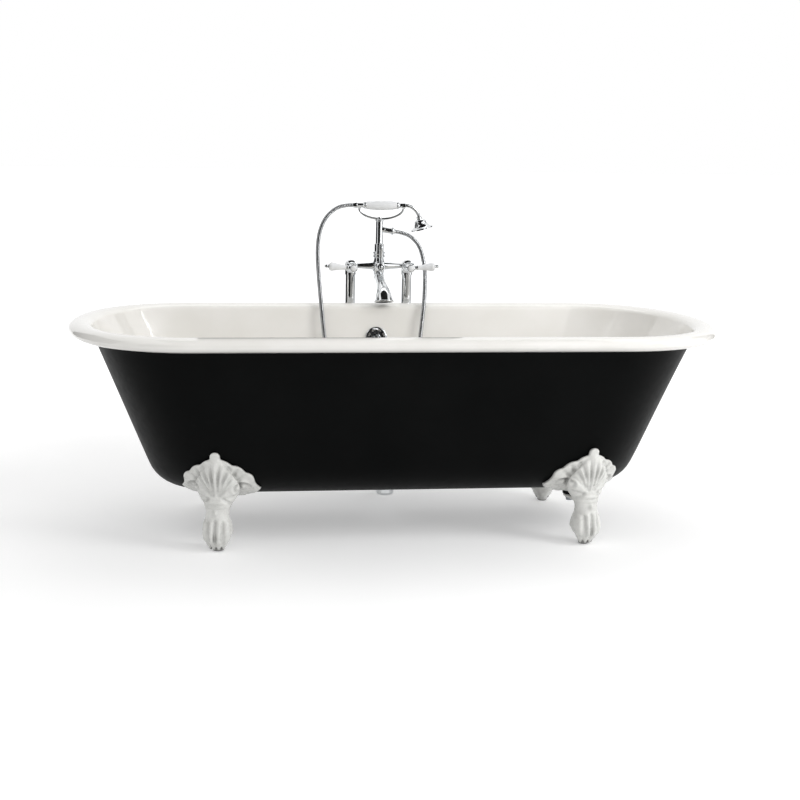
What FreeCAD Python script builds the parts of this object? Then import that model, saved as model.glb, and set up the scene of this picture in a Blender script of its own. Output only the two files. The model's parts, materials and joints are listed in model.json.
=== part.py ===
import FreeCAD, Part
import math
import os

# A double-ended cast bathtub on four claw feet, with a mixer on two standpipes behind its long side.
# Millimetres. The tub is drawn about its own middle: X along its length, Y towards the back, Z up from
# the floor. The saved solids are moved so that the footprint of tub and standpipes is centred on the origin.

V = FreeCAD.Vector
UP = V(0, 0, 1)
FRONT = V(0, -1, 0)
os.makedirs("parts", exist_ok=True)

# ---- tub casting ----
tub_length = 1830.0
tub_width = 800.0
rim_top = 602.0
roll_half_width = 33.0
roll_half_height = 19.5
wall = 7.0
underside = 136.0            # underside of the flat floor above the ground
end_depth = 335.0            # length of the curved end in plan, at the rim
end_spread = 22.0            # the flatter arc at the very end reaches this far each way, degrees
floor_straight = 440.0       # half length of the straight sides at the floor
floor_spread = 45.0
end_lean = 0.41              # run over rise of the sloping ends
side_lean = 0.23
end_corner = 100.0           # radius between end wall and floor
side_corner = 150.0

# ---- feet ----
foot_x = 510.0
foot_y = 237.0
foot_turn = 15.0             # the foot faces this far from the front towards the tub's end, degrees
foot_seat_gap = 0.3
leaf_thickness = 12.0
pad_radius = 23.0
pad_height = 12.0
tongue_reach = 86.0          # from the pad's centre inwards to the bolt
tongue_top = 124.0
tongue_thickness = 10.0
tongue_width = 34.0
foot_bolt_radius = 6.0
bolt_head = 7.5
washer_thickness = 2.5
boss_radius = 20.0           # bosses under the tub that the feet are bolted to
boss_height = 20.0
leaf_knob = 14.0
leaf_knob_height = 267.0
toe_angles = (-54, -18, 18, 54)
# half width, half depth, how far out from the pad's centre, height
leg_sections = ((23, 23, 0, 10), (28, 26, 0, 24), (38, 36, 2, 50), (37, 33, 4, 76), (31, 28, 6, 98),
                (31, 28, 5, 114), (39, 31, 2, 132), (51, 34, -2, 149), (60, 33, 0, 166), (62, 28, 8, 182),
                (57, 24, 15, 197), (46, 19, 24, 215), (32, 14, 31, 235), (17, 9, 37, 252), (9, 6, 38, 261))

# ---- waste and overflow ----
waste_x = -11.0
waste_y = 70.0
waste_hole = 26.0
waste_pipe_radius = 20.0
waste_pipe_wall = 2.0
tail_insert_radius = 19.2
drop_pipe_y = 352.0          # the overflow and drain pipes come down here, behind the tub
drain_end = 40.0
branch_height = 92.0
plug_radius = 31.0
overflow_height = 500.0
overflow_hole = 24.0
overflow_plate_radius = 34.0
overflow_pipe_radius = 16.0
overflow_flange = 34.0
elbow_chamber = 21.0
elbow_socket_end = 448.0
pipe_insert = 14.0
tee_arm = 30.0
nut_height = 9.0
gasket = 2.0
flange_ring = 35.0
tail_radius = 22.5
tail_bore = 20.0
waste_tail_end = 104.0
cup_bottom = 70.0
plug_level = 150.65          # underside of the plug's dome when it is shut
seal_radius = 22.0
stem_radius = 3.0
cartridge_stem = 7.0
screw_radius = 2.5

# ---- mixer ----
mixer_x = 12.0
mixer_y = 455.0
valve_height = 708.0
valve_spread = 89.0          # each valve from the mixer's middle
standpipe_radius = 16.0
standpipe_wall = 1.5
supply_radius = 11.0
supply_wall = 1.5
flange_radius = 35.0
flange_height = 9.0
barrel_radius = 19.0
cover_radius = 19.8
spindle_radius = 4.0
lever_reach = 90.0
lever_tilt = 4.0
lever_front = 78.0           # the lever's axis in front of the standpipe's axis
leg_shoulder = valve_height - 19.0   # the standpipes end against this height inside the mixer
valve_face = 24.0            # front face of the valve barrels
cover_end = 58.0
cartridge_radius = 11.9
cartridge_neck = 7.4
lever_collar = 22.0
lever_rod = 2.5
button_radius = 9.5
diverter_face = 22.0
diverter_end = 40.0
diverter_stem = 10.5
diverter_reach = 73.0
hub_bottom = valve_height - 46.0
riser_face = valve_height + 26.0
spout_spigot = 11.0
insert_radius = 24.0
# the spout's middle line: forward of the standpipes, below the valves, degrees below level, radius
spout_sections = ((19, 35, 19, 15.5), (50, 45.5, 19, 15.5), (80, 56, 22, 17), (108, 68, 40, 20.5),
                  (127, 83, 62, 25), (137, 98, 77.4, 29))
column_radius = 12.0
sleeve_radius = 15.5
sleeve_length = 40.0
riser_length = 112.0
column_top = riser_face + riser_length
hose_outlet_height = column_top - 24.0
outlet_dip = 8.0             # the hose outlet leans this far below level
handset_shift = 5.0
grip_length = 97.0
grip_radius = 15.5
cradle_half_width = 70.0
cradle_rod = 3.8
neck_radius = 6.0
neck_bend = 45.0
bell_tilt = 75.0             # the bell's axis below the horizontal
bell_radius = 36.5
bell_depth = 40.5
plate_seat = 37.8
plate_radius = 33.0
neck_start = 75.0
tail_end = 76.0
core_radius = 6.0
cradle_drop = 34.0
cup_height = column_top + 8.0 + cradle_drop   # centre of the cradle's bow
handset_height = cup_height + 8.0
cup_outer = 11.5
tail_rest = 8.0              # the radius of the handset where it lies in the cups
cup_width = 9.0
outlet_end = 38.0
hose_radius = 7.0
hose_bore = 4.5
hose_start = 50.0            # the hose begins this far right of the riser's axis
hose_corner_share = 0.45
hose_points = ((86, 455, 811.6), (114, 451, 799), (137, 442, 773), (147, 427, 738), (151, 405, 697),
               (146, 368, 652), (134, 313, 590), (123, 294, 515), (113, 272, 425), (82, 250, 341),
               (20, 240, 292), (-60, 239, 289), (-128, 250, 336), (-162, 270, 424), (-174, 292, 512),
               (-181, 316, 598), (-184, 372, 676), (-186, 412, 750), (-179, 436, 812),
               (-159, 450, 856), (-130, 455, 884), (-98, 455, 896))

slip = 0.05                  # running and sliding fits
seat = 0.1                   # round parts that sit in one another
face_gap = 0.3               # curved faces of different parts

rim_centre = rim_top - roll_half_height
footprint_shift = (mixer_y + flange_radius - tub_width / 2) / 2


# ---- general shapes ----

def save(name, shape):
    """Write one node, with the footprint centred on the origin."""
    moved = shape.copy()
    moved.translate(V(0, -footprint_shift, 0))
    solids = len(moved.Solids)
    print("%-26s solids %d valid %s volume %.0f" % (name, solids, moved.isValid(), moved.Volume))
    moved.exportStep("parts/%s.step" % name)


def side_way(axis):
    """A unit vector square to the axis."""
    other = V(1, 0, 0) if abs(axis.x) < 0.9 else V(0, 1, 0)
    return axis.cross(other).normalize()


def stretch_edge(points):
    """Two points make a line, three an arc, more a smooth curve."""
    if len(points) == 2:
        return Part.LineSegment(points[0], points[1]).toShape()
    if len(points) == 3:
        return Part.Arc(points[0], points[1], points[2]).toShape()
    curve = Part.BSplineCurve()
    curve.interpolate(points)
    return curve.toShape()


def turned(origin, axis, *stretches):
    """A solid of revolution. Each stretch lists (radius, distance along the axis)."""
    axis = V(axis).normalize()
    out = side_way(axis)
    edges = []
    start = None
    last = None
    for stretch in stretches:
        points = [origin + out * r + axis * h for r, h in stretch]
        if last is not None and (points[0] - last).Length > 1e-6:
            edges.append(Part.LineSegment(last, points[0]).toShape())
        if start is None:
            start = points[0]
        edges.append(stretch_edge(points))
        last = points[-1]
    if (last - start).Length > 1e-6:
        edges.append(Part.LineSegment(last, start).toShape())
    face = Part.Face(Part.Wire(Part.__sortEdges__(edges)))
    solid = face.revolve(origin, axis, 360)
    return Part.Solid(solid) if solid.ShapeType != "Solid" else solid


def cap(radius, start, end):
    """A stretch for turned(): part of a sphere from a radius to a point on the axis."""
    rise = end - start
    ball = (radius ** 2 + rise ** 2) / (2 * rise)
    turn = math.asin(min(radius / abs(ball), 1.0)) / 2
    middle = (abs(ball) * math.sin(turn), end - ball + ball * math.cos(turn))
    return [(radius, start), middle, (0, end)]


def steps(*points):
    """Straight stretches through the points, for use in turned()."""
    return [[points[i], points[i + 1]] for i in range(len(points) - 1)]


def rod(radius, origin, axis, length):
    return Part.makeCylinder(radius, length, origin, axis)


def tube(radius, bore, origin, axis, length):
    return rod(radius, origin, axis, length).cut(rod(bore, origin, axis, length))


def hexagon(across, origin, axis, length):
    """A hexagonal prism, measured across its flats."""
    axis = V(axis).normalize()
    first = side_way(axis)
    second = axis.cross(first)
    corner = across / math.sqrt(3)
    points = []
    for i in range(7):
        turn = math.radians(60 * i)
        points.append(origin + first * corner * math.cos(turn) + second * corner * math.sin(turn))
    return Part.Face(Part.makePolygon(points)).extrude(axis * length)


def joined(shapes):
    solid = shapes[0]
    for shape in shapes[1:]:
        solid = solid.fuse(shape)
    return solid.removeSplitter()


def swept(edges, radius, bore=0.0):
    """A round bar or pipe along a path."""
    path = Part.Wire(edges)
    first = path.Edges[0]
    start = first.valueAt(first.FirstParameter)
    way = first.tangentAt(first.FirstParameter)
    solid = None
    for size in (radius, bore):
        if size <= 0:
            continue
        circle = Part.Wire(Part.Circle(start, way, size).toShape())
        shell = Part.BRepOffsetAPI.MakePipeShell(path)
        shell.add(circle)
        shell.build()
        shell.makeSolid()
        body = shell.shape()
        solid = body if solid is None else solid.cut(body)
    return solid


# ---- the tub ----

def outline(half_length, half_width, straight, spread, height):
    """Plan outline of tangent arcs: straight sides, a corner arc and an end arc over +-spread degrees."""
    depth = half_length - straight
    s = math.sin(math.radians(spread))
    c = math.cos(math.radians(spread))
    share = 1 - s - c
    corner = (half_width * (1 - c) - depth * s) / share
    end = (depth * (1 - s) - half_width * c) / share
    joint_x = half_length - end + end * c
    joint_y = end * s
    middle = math.radians((90 + spread) / 2)
    middle_x = straight + corner * math.cos(middle)
    middle_y = half_width - corner + corner * math.sin(middle)
    edges = []
    for side in (1, -1):
        def at(x, y):
            return V(side * x, side * y, height)
        edges.append(Part.Arc(at(straight, -half_width), at(middle_x, -middle_y), at(joint_x, -joint_y)).toShape())
        edges.append(Part.Arc(at(joint_x, -joint_y), at(half_length, 0), at(joint_x, joint_y)).toShape())
        edges.append(Part.Arc(at(joint_x, joint_y), at(middle_x, middle_y), at(straight, half_width)).toShape())
        edges.append(Part.LineSegment(at(straight, half_width), at(-straight, half_width)).toShape())
    return Part.Wire(edges)


def flank(height, inset, half_size, lean, corner):
    """Half length or half width of the wall at a height; inset is 0 outside and the wall's thickness inside."""
    slope = math.atan(lean)
    top = half_size - 2 * roll_half_width + wall
    centre_height = underside + corner
    radius = corner - inset
    if height >= centre_height - radius * math.sin(slope):
        return top - inset / math.cos(slope) - lean * (rim_centre - height)
    turn = math.pi / 2 - slope
    centre = top - lean * (rim_centre - underside) - corner * math.tan(turn / 2)
    return centre + math.sqrt(max(radius ** 2 - (centre_height - height) ** 2, 0.0))


def wall_ring(height, inset):
    share = (height - underside) / (rim_centre - underside)
    straight = floor_straight + (tub_length / 2 - end_depth - floor_straight) * share
    spread = floor_spread + (end_spread - floor_spread) * share
    half_length = flank(height, inset, tub_length / 2, end_lean, end_corner)
    half_width = flank(height, inset, tub_width / 2, side_lean, side_corner)
    return outline(half_length, half_width, straight, spread, height)


def rim_ring(angle, inner):
    """The rolled rim at an angle round its section, 180 at the tub's inside, 90 on top, 0 outermost."""
    turn = math.radians(angle)
    out = (roll_half_width - inner) * math.cos(turn) - roll_half_width
    height = rim_centre + (roll_half_height - inner) * math.sin(turn)
    return outline(tub_length / 2 + out, tub_width / 2 + out, tub_length / 2 - end_depth, end_spread, height)


def wall_heights(inset):
    """Heights of the rings from the floor up, round the corner and on to the straight wall."""
    radius = side_corner - inset
    return [underside + side_corner - radius * math.cos(math.radians(t)) for t in (0, 13, 26, 40, 55, 77)]


def tub_body(gap):
    """The room the tub takes up, with a gap all round, for cutting the parts that hug it."""
    rings = [wall_ring(h, -gap) for h in wall_heights(-gap)]
    rings.append(wall_ring(rim_centre, -gap))
    return Part.makeLoft(rings, True, True)


def wall_way():
    """Square to the rear wall, pointing out of the tub."""
    return V(0, 1, -side_lean).normalize()


def overflow_point(distance):
    """On the overflow's axis, measured outwards from the enamel inside the rear wall."""
    inner_y = flank(overflow_height, wall, tub_width / 2, side_lean, side_corner)
    return V(waste_x, inner_y, overflow_height) + wall_way() * distance


def foot_places():
    """The four feet: name, side along X, side along Y (minus is the front)."""
    return [("front_left", -1, -1), ("front_right", 1, -1), ("rear_left", -1, 1), ("rear_right", 1, 1)]


def foot_out(side_x, side_y):
    turn = math.radians(foot_turn)
    return V(side_x * math.sin(turn), side_y * math.cos(turn), 0)


def foot_bolt_point(side_x, side_y, height):
    centre = V(side_x * foot_x, side_y * foot_y, height)
    return centre - foot_out(side_x, side_y) * tongue_reach


def make_tub_shell():
    """Floor, walls and the rim rolled over outwards, in one skin of even thickness, with four bosses."""
    over = (180, 157, 135, 112, 90, 68, 45, 22, 0, -26, -52, -78, -105)
    under = (-105, -70, -35, 0, 45, 90, 135)
    rings = [wall_ring(h, wall) for h in wall_heights(wall)]
    rings += [rim_ring(angle, 0) for angle in over]
    rings += [rim_ring(angle, wall) for angle in under]
    rings += [wall_ring(rim_centre, 0)]
    rings += [wall_ring(h, 0) for h in reversed(wall_heights(0))]
    shell = Part.makeLoft(rings, True, True)
    bosses = [rod(boss_radius, foot_bolt_point(sx, sy, tongue_top), UP, boss_height) for name, sx, sy in foot_places()]
    shell = shell.fuse(bosses)
    threads = [rod(foot_bolt_radius + seat, foot_bolt_point(sx, sy, 0), UP, tongue_top + boss_height - 2.5)
               for name, sx, sy in foot_places()]
    holes = [rod(waste_hole, V(waste_x, waste_y, 0), UP, underside + 2 * wall)]
    holes.append(rod(overflow_hole, overflow_point(-wall), wall_way(), 3 * wall))
    return shell.cut(threads + holes)


# ---- claw feet ----

def make_foot():
    """The front right foot: pad, toes, leg, leaf against the tub and a tongue under the tub for the bolt."""
    out = foot_out(1, -1)
    side = V(-out.y, out.x, 0)
    centre = V(foot_x, -foot_y, 0)

    def at(w, u, z):
        return centre + side * w + out * u + UP * z

    rings = []
    for half_width, half_depth, u, z in leg_sections:
        big, small = max(half_width, half_depth), min(half_width, half_depth)
        ring = Part.Ellipse(V(0, 0, 0), big, small).toShape()
        if half_depth > half_width:
            ring.rotate(V(0, 0, 0), UP, 90)
        ring.rotate(V(0, 0, 0), UP, math.degrees(math.atan2(side.y, side.x)))
        ring.translate(at(0, u, z))
        rings.append(Part.Wire(ring))
    leg = Part.makeLoft(rings, True, True)
    near = tub_body(foot_seat_gap)
    leaf_face = Part.Face(Part.Wire(leaf_outline(at)))
    leaf = leaf_face.extrude(out * 150)
    leaf = leaf.fuse(rod(leaf_knob, at(0, -70, leaf_knob_height), out, 150))
    leaf = leaf.common(tub_body(foot_seat_gap + leaf_thickness))
    tongue_box = Part.makeBox(tongue_reach, tongue_width, tongue_thickness)
    tongue_box.translate(V(-tongue_reach, -tongue_width / 2, tongue_top - tongue_thickness))
    tongue_box.rotate(V(0, 0, 0), UP, math.degrees(math.atan2(out.y, out.x)))
    tongue_box.translate(centre)
    bolt = foot_bolt_point(1, -1, tongue_top - tongue_thickness)
    tongue = tongue_box.fuse(rod(tongue_width / 2, bolt, UP, tongue_thickness))
    toes = [make_toe(at, angle) for angle in toe_angles]
    pad = rod(pad_radius, centre, UP, pad_height)
    foot = leg.fuse([leaf, tongue, pad] + toes)
    boss_room = rod(boss_radius + face_gap, bolt + UP * tongue_thickness, UP, 2 * boss_height)
    foot = foot.cut([near, boss_room, rod(foot_bolt_radius + 0.5, bolt - UP, UP, tongue_thickness + 2)])
    below = Part.makeBox(400, 400, 100, at(0, 0, -100) - V(200, 200, 0))
    return foot.cut(below)


def leaf_outline(at):
    """Half of a scalloped leaf, and its mirror image."""
    edges = []
    for s in (1, -1):
        def p(w, z):
            return at(s * w, -70, z)
        edges.append(Part.LineSegment(p(0, 112), p(38, 112)).toShape())
        edges.append(Part.Arc(p(38, 112), p(54, 136), p(84, 148)).toShape())
        edges.append(Part.Arc(p(84, 148), p(99, 157), p(110, 170)).toShape())
        edges.append(Part.Arc(p(110, 170), p(100, 182), p(97, 197)).toShape())
        edges.append(Part.Arc(p(97, 197), p(91, 214), p(75, 221)).toShape())
        edges.append(Part.Arc(p(75, 221), p(61, 238), p(42, 243)).toShape())
        edges.append(Part.Arc(p(42, 243), p(24, 257), p(0, 260)).toShape())
    return Part.__sortEdges__(edges)


def make_toe(at, angle):
    """A claw: a knuckle high on the pad and a talon running down to the ground."""
    turn = math.radians(angle)
    top = at(24 * math.sin(turn), 24 * math.cos(turn), 72)
    tip = at(33 * math.sin(turn), 33 * math.cos(turn), 3)
    way = tip - top
    length = way.Length
    return turned(top, way, cap(9, -4, -8)[::-1], [(9, -4), (11.5, 2), (12.5, 12)],
                  [(12.5, 12), (14, 30), (11, 48)], [(11, 48), (9, 56), (5, length - 3)], cap(5, length - 3, length))


# ---- waste and overflow ----

def make_waste_flange():
    """The chrome ring in the tub's floor, its threaded tail and the bar that carries the plug's cartridge."""
    at = V(waste_x, waste_y, 0)
    floor_top = underside + wall
    ring = turned(at, UP, steps((tail_bore, waste_tail_end), (tail_radius, waste_tail_end))[0],
                  [(tail_radius, floor_top + gasket), (flange_ring, floor_top + gasket)],
                  [(flange_ring, floor_top + gasket), (flange_ring - 0.6, floor_top + gasket + 2),
                   (flange_ring - 4, floor_top + gasket + 3)],
                  [(tail_bore + 3, floor_top + gasket + 3), (tail_bore, floor_top + gasket)])
    bar_low = underside - 14
    bars = [Part.makeBox(2 * tail_bore + 1, 5, 8, V(-tail_bore - 0.5, -2.5, bar_low)),
            Part.makeBox(5, 2 * tail_bore + 1, 8, V(-2.5, -tail_bore - 0.5, bar_low))]
    for bar in bars:
        bar.translate(at)
    hub = rod(10, at + UP * bar_low, UP, 8)
    return joined([ring, bars[0], bars[1], hub]).cut(rod(cartridge_stem + seat, at, UP, 200))


def make_waste_gaskets():
    at = V(waste_x, waste_y, 0)
    upper = tube(flange_ring - 1, tail_radius + seat, at + UP * (underside + wall), UP, gasket)
    lower = tube(waste_hole + 10, tail_radius + seat, at + UP * (underside - gasket), UP, gasket)
    return [upper, lower]


def make_waste_nut():
    top = underside - gasket
    at = V(waste_x, waste_y, top - nut_height)
    nut = hexagon(62, at, UP, nut_height)
    return nut.cut(rod(tail_radius + seat, at - UP, UP, nut_height + 2))


def make_waste_body():
    """The cup screwed on the tail below the tub, with its outlet to the rear."""
    at = V(waste_x, waste_y, 0)
    top = underside - gasket - nut_height - 1
    cup = turned(at, UP, steps((0, cup_bottom), (16, cup_bottom))[0],
                 [(16, cup_bottom), (24, cup_bottom + 3), (27, cup_bottom + 12)], [(27, top), (0, top)])
    outlet = rod(waste_pipe_radius + 4, V(waste_x, waste_y, branch_height), V(0, 1, 0), 52)
    body = cup.fuse(outlet)
    chamber = rod(20, at + UP * (cup_bottom + 4), UP, 60)
    thread = rod(tail_radius + seat, at + UP * waste_tail_end, UP, 60)
    passage = rod(waste_pipe_radius - waste_pipe_wall, V(waste_x, waste_y, branch_height), V(0, 1, 0), 60)
    socket = rod(waste_pipe_radius + seat, V(waste_x, waste_y + 34, branch_height), V(0, 1, 0), 60)
    return body.cut([chamber, thread, passage, socket])


def make_plug_cartridge():
    at = V(waste_x, waste_y, 0)
    low = underside - 20
    body = turned(at, UP, steps((0, low), (cartridge_stem, low))[0],
                  [(cartridge_stem, plug_level - 8), (0, plug_level - 8)])
    collar = rod(9.5, at + UP * (underside - 6), UP, 3)
    return body.fuse(collar).cut(rod(stem_radius + slip, at + UP * (low + 3), UP, 60))


def make_plug_stem():
    at = V(waste_x, waste_y, 0)
    return rod(stem_radius, at + UP * (underside - 14), UP, plug_level + 3 - (underside - 14))


def make_plug_dome():
    at = V(waste_x, waste_y, plug_level)
    dome = turned(at, UP, steps((0, 0), (plug_radius - 1, 0))[0],
                  [(plug_radius - 1, 0), (plug_radius, 1), (plug_radius - 1, 2.4)],
                  cap(plug_radius - 1, 2.4, 6.5))
    skirt = rod(seal_radius, at - UP * 3, UP, 3)
    return dome.fuse(skirt).cut(rod(stem_radius, at - UP * 4, UP, 7))


def make_plug_seal():
    at = V(waste_x, waste_y, plug_level - 2.6)
    return tube(seal_radius + 5, seal_radius, at, UP, 2.6)


def make_overflow_plate():
    """The domed ring over the overflow, pierced by a circle of slots and one of small holes."""
    at = overflow_point(0)
    way = wall_way() * -1
    r = overflow_plate_radius
    plate = turned(at, way, steps((0, 5), (r - 4, 5))[0], [(r - 4, 5), (r - 4, 0.1)], [(r - 4, 0.1), (r, 0.1)],
                   [(r, 0.1), (r, 5), (r - 4, 8)], [(r - 4, 8), (17, 9.6), (12, 9.6)],
                   [(12, 9.6), (10, 7.5), (0, 7.5)])
    across = V(1, 0, 0)
    up = way.cross(across)
    cuts = []
    for i in range(8):
        turn = math.radians(45 * i + 22.5)
        for width in (-3, 0, 3):
            spot = turn + math.radians(width * 2.6)
            cuts.append(rod(2.6, at + across * 24 * math.cos(spot) + up * 24 * math.sin(spot), way, 20))
        cuts.append(rod(2.2, at + across * 14.5 * math.cos(turn) + up * 14.5 * math.sin(turn), way, 20))
    cuts.append(rod(screw_radius + seat, at, way, 20))
    return plate.cut(cuts)


def make_overflow_screw():
    """The screw that pulls the plate against the elbow's cross bar through the wall."""
    way = wall_way()
    head = turned(overflow_point(-7.5), way * -1, steps((0, 0), (6.5, 0))[0], [(6.5, 0), (6.5, 1.5), (4, 3)],
                  [(4, 3), (0, 3.2)])
    return head.fuse(rod(screw_radius, overflow_point(-7.5), way, 7.5 + 16))


def make_overflow_gasket():
    return tube(overflow_flange, elbow_chamber, overflow_point(wall), wall_way(), gasket)


def make_overflow_elbow():
    """The body behind the wall: flange, cross bar for the screw, chamber and a socket for the pipe."""
    way = wall_way()
    start = overflow_point(wall + gasket)
    barrel = rod(elbow_chamber + 4, start, way, 48)
    flange = rod(overflow_flange, start, way, 4)
    socket_at = V(waste_x, drop_pipe_y, elbow_socket_end)
    socket = rod(overflow_pipe_radius + 4, socket_at, UP, overflow_height - 10 - elbow_socket_end)
    body = joined([barrel, flange, socket])
    chamber = rod(elbow_chamber, start - way, way, 45)
    passage = rod(overflow_pipe_radius - 2, socket_at, UP, overflow_height - 12 - elbow_socket_end)
    bore = rod(overflow_pipe_radius + seat, socket_at - UP, UP, pipe_insert + 1)
    body = body.cut([chamber, passage, bore])
    bar = Part.makeBox(2 * elbow_chamber + 2, 8, 8, V(-elbow_chamber - 1, -4, 0))
    bar = bar.fuse(rod(8, V(0, 0, 0), UP, 8)).cut(rod(screw_radius, V(0, 0, -1), UP, 20))
    bar.Placement = FreeCAD.Placement(overflow_point(wall + gasket + 4), FreeCAD.Rotation(UP, way))
    return joined([body, bar])


def make_overflow_pipe():
    low = branch_height + tee_arm - pipe_insert
    high = elbow_socket_end + pipe_insert
    return tube(overflow_pipe_radius, overflow_pipe_radius - 1.5, V(waste_x, drop_pipe_y, low), UP, high - low)


def make_pipe_nuts():
    """The compression nuts at both ends of the overflow pipe."""
    nuts = []
    for z in (elbow_socket_end - nut_height, branch_height + tee_arm):
        nut = hexagon(38, V(waste_x, drop_pipe_y, z), UP, nut_height)
        nuts.append(nut.cut(rod(overflow_pipe_radius + seat, V(waste_x, drop_pipe_y, z - 1), UP, nut_height + 2)))
    return Part.makeCompound(nuts)


def make_waste_tee():
    at = V(waste_x, drop_pipe_y, branch_height)
    side = V(0, -1, 0)
    upright = rod(waste_pipe_radius + 4, at - UP * tee_arm, UP, 2 * tee_arm)
    branch = rod(waste_pipe_radius + 4, at, side, tee_arm + 6)
    body = joined([upright, branch])
    cuts = [rod(overflow_pipe_radius + seat, at + UP * (tee_arm - pipe_insert), UP, pipe_insert + 1)]
    cuts.append(rod(overflow_pipe_radius - 2, at, UP, tee_arm))
    cuts.append(rod(tail_insert_radius + seat, at - UP * (tee_arm + 1), UP, pipe_insert + 1))
    cuts.append(rod(waste_pipe_radius - waste_pipe_wall, at - UP * tee_arm, UP, tee_arm))
    cuts.append(rod(waste_pipe_radius - waste_pipe_wall, at, side, tee_arm + 8))
    cuts.append(rod(waste_pipe_radius + seat, at + side * (tee_arm + 6 - pipe_insert), side, pipe_insert + 1))
    return body.cut(cuts)


def make_waste_pipe():
    start = waste_y + 34
    end = drop_pipe_y - (tee_arm + 6 - pipe_insert)
    at = V(waste_x, start, branch_height)
    return tube(waste_pipe_radius, waste_pipe_radius - waste_pipe_wall, at, V(0, 1, 0), end - start)


def make_drain_tail():
    """The outlet below the tee, its upper end a little narrower to go into the socket."""
    shoulder = branch_height - tee_arm
    at = V(waste_x, drop_pipe_y, 0)
    outside = rod(waste_pipe_radius, at + UP * drain_end, UP, shoulder - drain_end)
    outside = outside.fuse(rod(tail_insert_radius, at + UP * shoulder, UP, pipe_insert))
    return outside.cut(rod(waste_pipe_radius - waste_pipe_wall, at, UP, 200))


# ---- standpipes and mixer ----

def place(x, forward, z):
    """A point by its distance in front of the standpipes' plane."""
    return V(x, mixer_y - forward, z)


def valve_x(side):
    return mixer_x + side * valve_spread


def make_standpipe(side):
    return tube(standpipe_radius, standpipe_radius - standpipe_wall, place(valve_x(side), 0, 0), UP, leg_shoulder)


def make_supply_pipe(side):
    at = place(valve_x(side), 0, 2)
    return tube(supply_radius, supply_radius - supply_wall, at, UP, leg_shoulder + 3 - 2)


def make_floor_flange(side):
    r = standpipe_radius + seat
    return turned(place(valve_x(side), 0, 0), UP, steps((r, 0), (flange_radius, 0))[0],
                  [(flange_radius, 0), (flange_radius, 2.5)],
                  [(flange_radius, 2.5), (flange_radius - 7, flange_height - 2), (r + 3, flange_height)],
                  [(r + 3, flange_height), (r, flange_height)])


def make_mixer_body():
    """Two valve barrels on their legs, tapered arms to a hub, the diverter's boss and the spout's seat."""
    pieces = []
    cuts = []
    for side in (-1, 1):
        x = valve_x(side)
        pieces.append(turned(place(x, 0, valve_height), FRONT, cap(17, -13, -20)[::-1],
                             [(17, -13), (barrel_radius, -10)], [(barrel_radius, -10), (barrel_radius, valve_face)],
                             [(barrel_radius, valve_face), (0, valve_face)]))
        pieces.append(rod(standpipe_radius + 2.5, place(x, 0, leg_shoulder - 8), UP, 20))
        arm_start = V(mixer_x + side * 10, mixer_y, valve_height)
        pieces.append(Part.makeCone(14, 7.5, valve_spread - 22, arm_start, V(side, 0, 0)))
        cuts.append(rod(cartridge_radius + seat, place(x, -8, valve_height), FRONT, 40))
        cuts.append(rod(standpipe_radius + seat, place(x, 0, leg_shoulder - 9), UP, 9))
        cuts.append(rod(supply_radius + seat, place(x, 0, leg_shoulder - 1), UP, 4))
        cuts.append(rod(7, place(x, 0, leg_shoulder), UP, 16))
        cuts.append(rod(5, V(mixer_x, mixer_y, valve_height), V(side, 0, 0), valve_spread))
    hub_at = V(mixer_x, mixer_y, 0)
    hub = turned(hub_at, UP, steps((0, hub_bottom), (13, hub_bottom))[0],
                 [(13, hub_bottom), (17, hub_bottom + 16), (20, hub_bottom + 38)],
                 [(20, hub_bottom + 38), (21.2, hub_bottom + 47), (20, hub_bottom + 56)],
                 [(20, hub_bottom + 56), (17.2, hub_bottom + 62), (16, riser_face - 3)],
                 [(16, riser_face - 3), (16, riser_face)], [(16, riser_face), (0, riser_face)])
    boss = rod(16, place(mixer_x, 0, valve_height), FRONT, diverter_face)
    seat_at, seat_way = spout_seat()
    spout_boss = rod(15.5, seat_at - seat_way * 20, seat_way, 20)
    cuts.append(rod(8, hub_at + UP * (valve_height - 18), UP, 60))
    cuts.append(rod(diverter_stem + seat, place(mixer_x, 6, valve_height), FRONT, 40))
    cuts.append(rod(spout_spigot + seat, seat_at - seat_way * 8, seat_way, 9))
    cuts.append(rod(8, seat_at - seat_way * 22, seat_way, 20))
    return joined(pieces + [hub, boss, spout_boss]).cut(cuts)


def spout_seat():
    """Where the spout meets the hub, and the way it leaves."""
    turn = math.radians(-19)
    way = V(0, -math.cos(turn), math.sin(turn))
    forward, drop, dip, radius = spout_sections[0]
    return spout_place(forward, drop), way


def spout_place(forward, drop):
    return place(mixer_x, forward, valve_height - drop)


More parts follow.
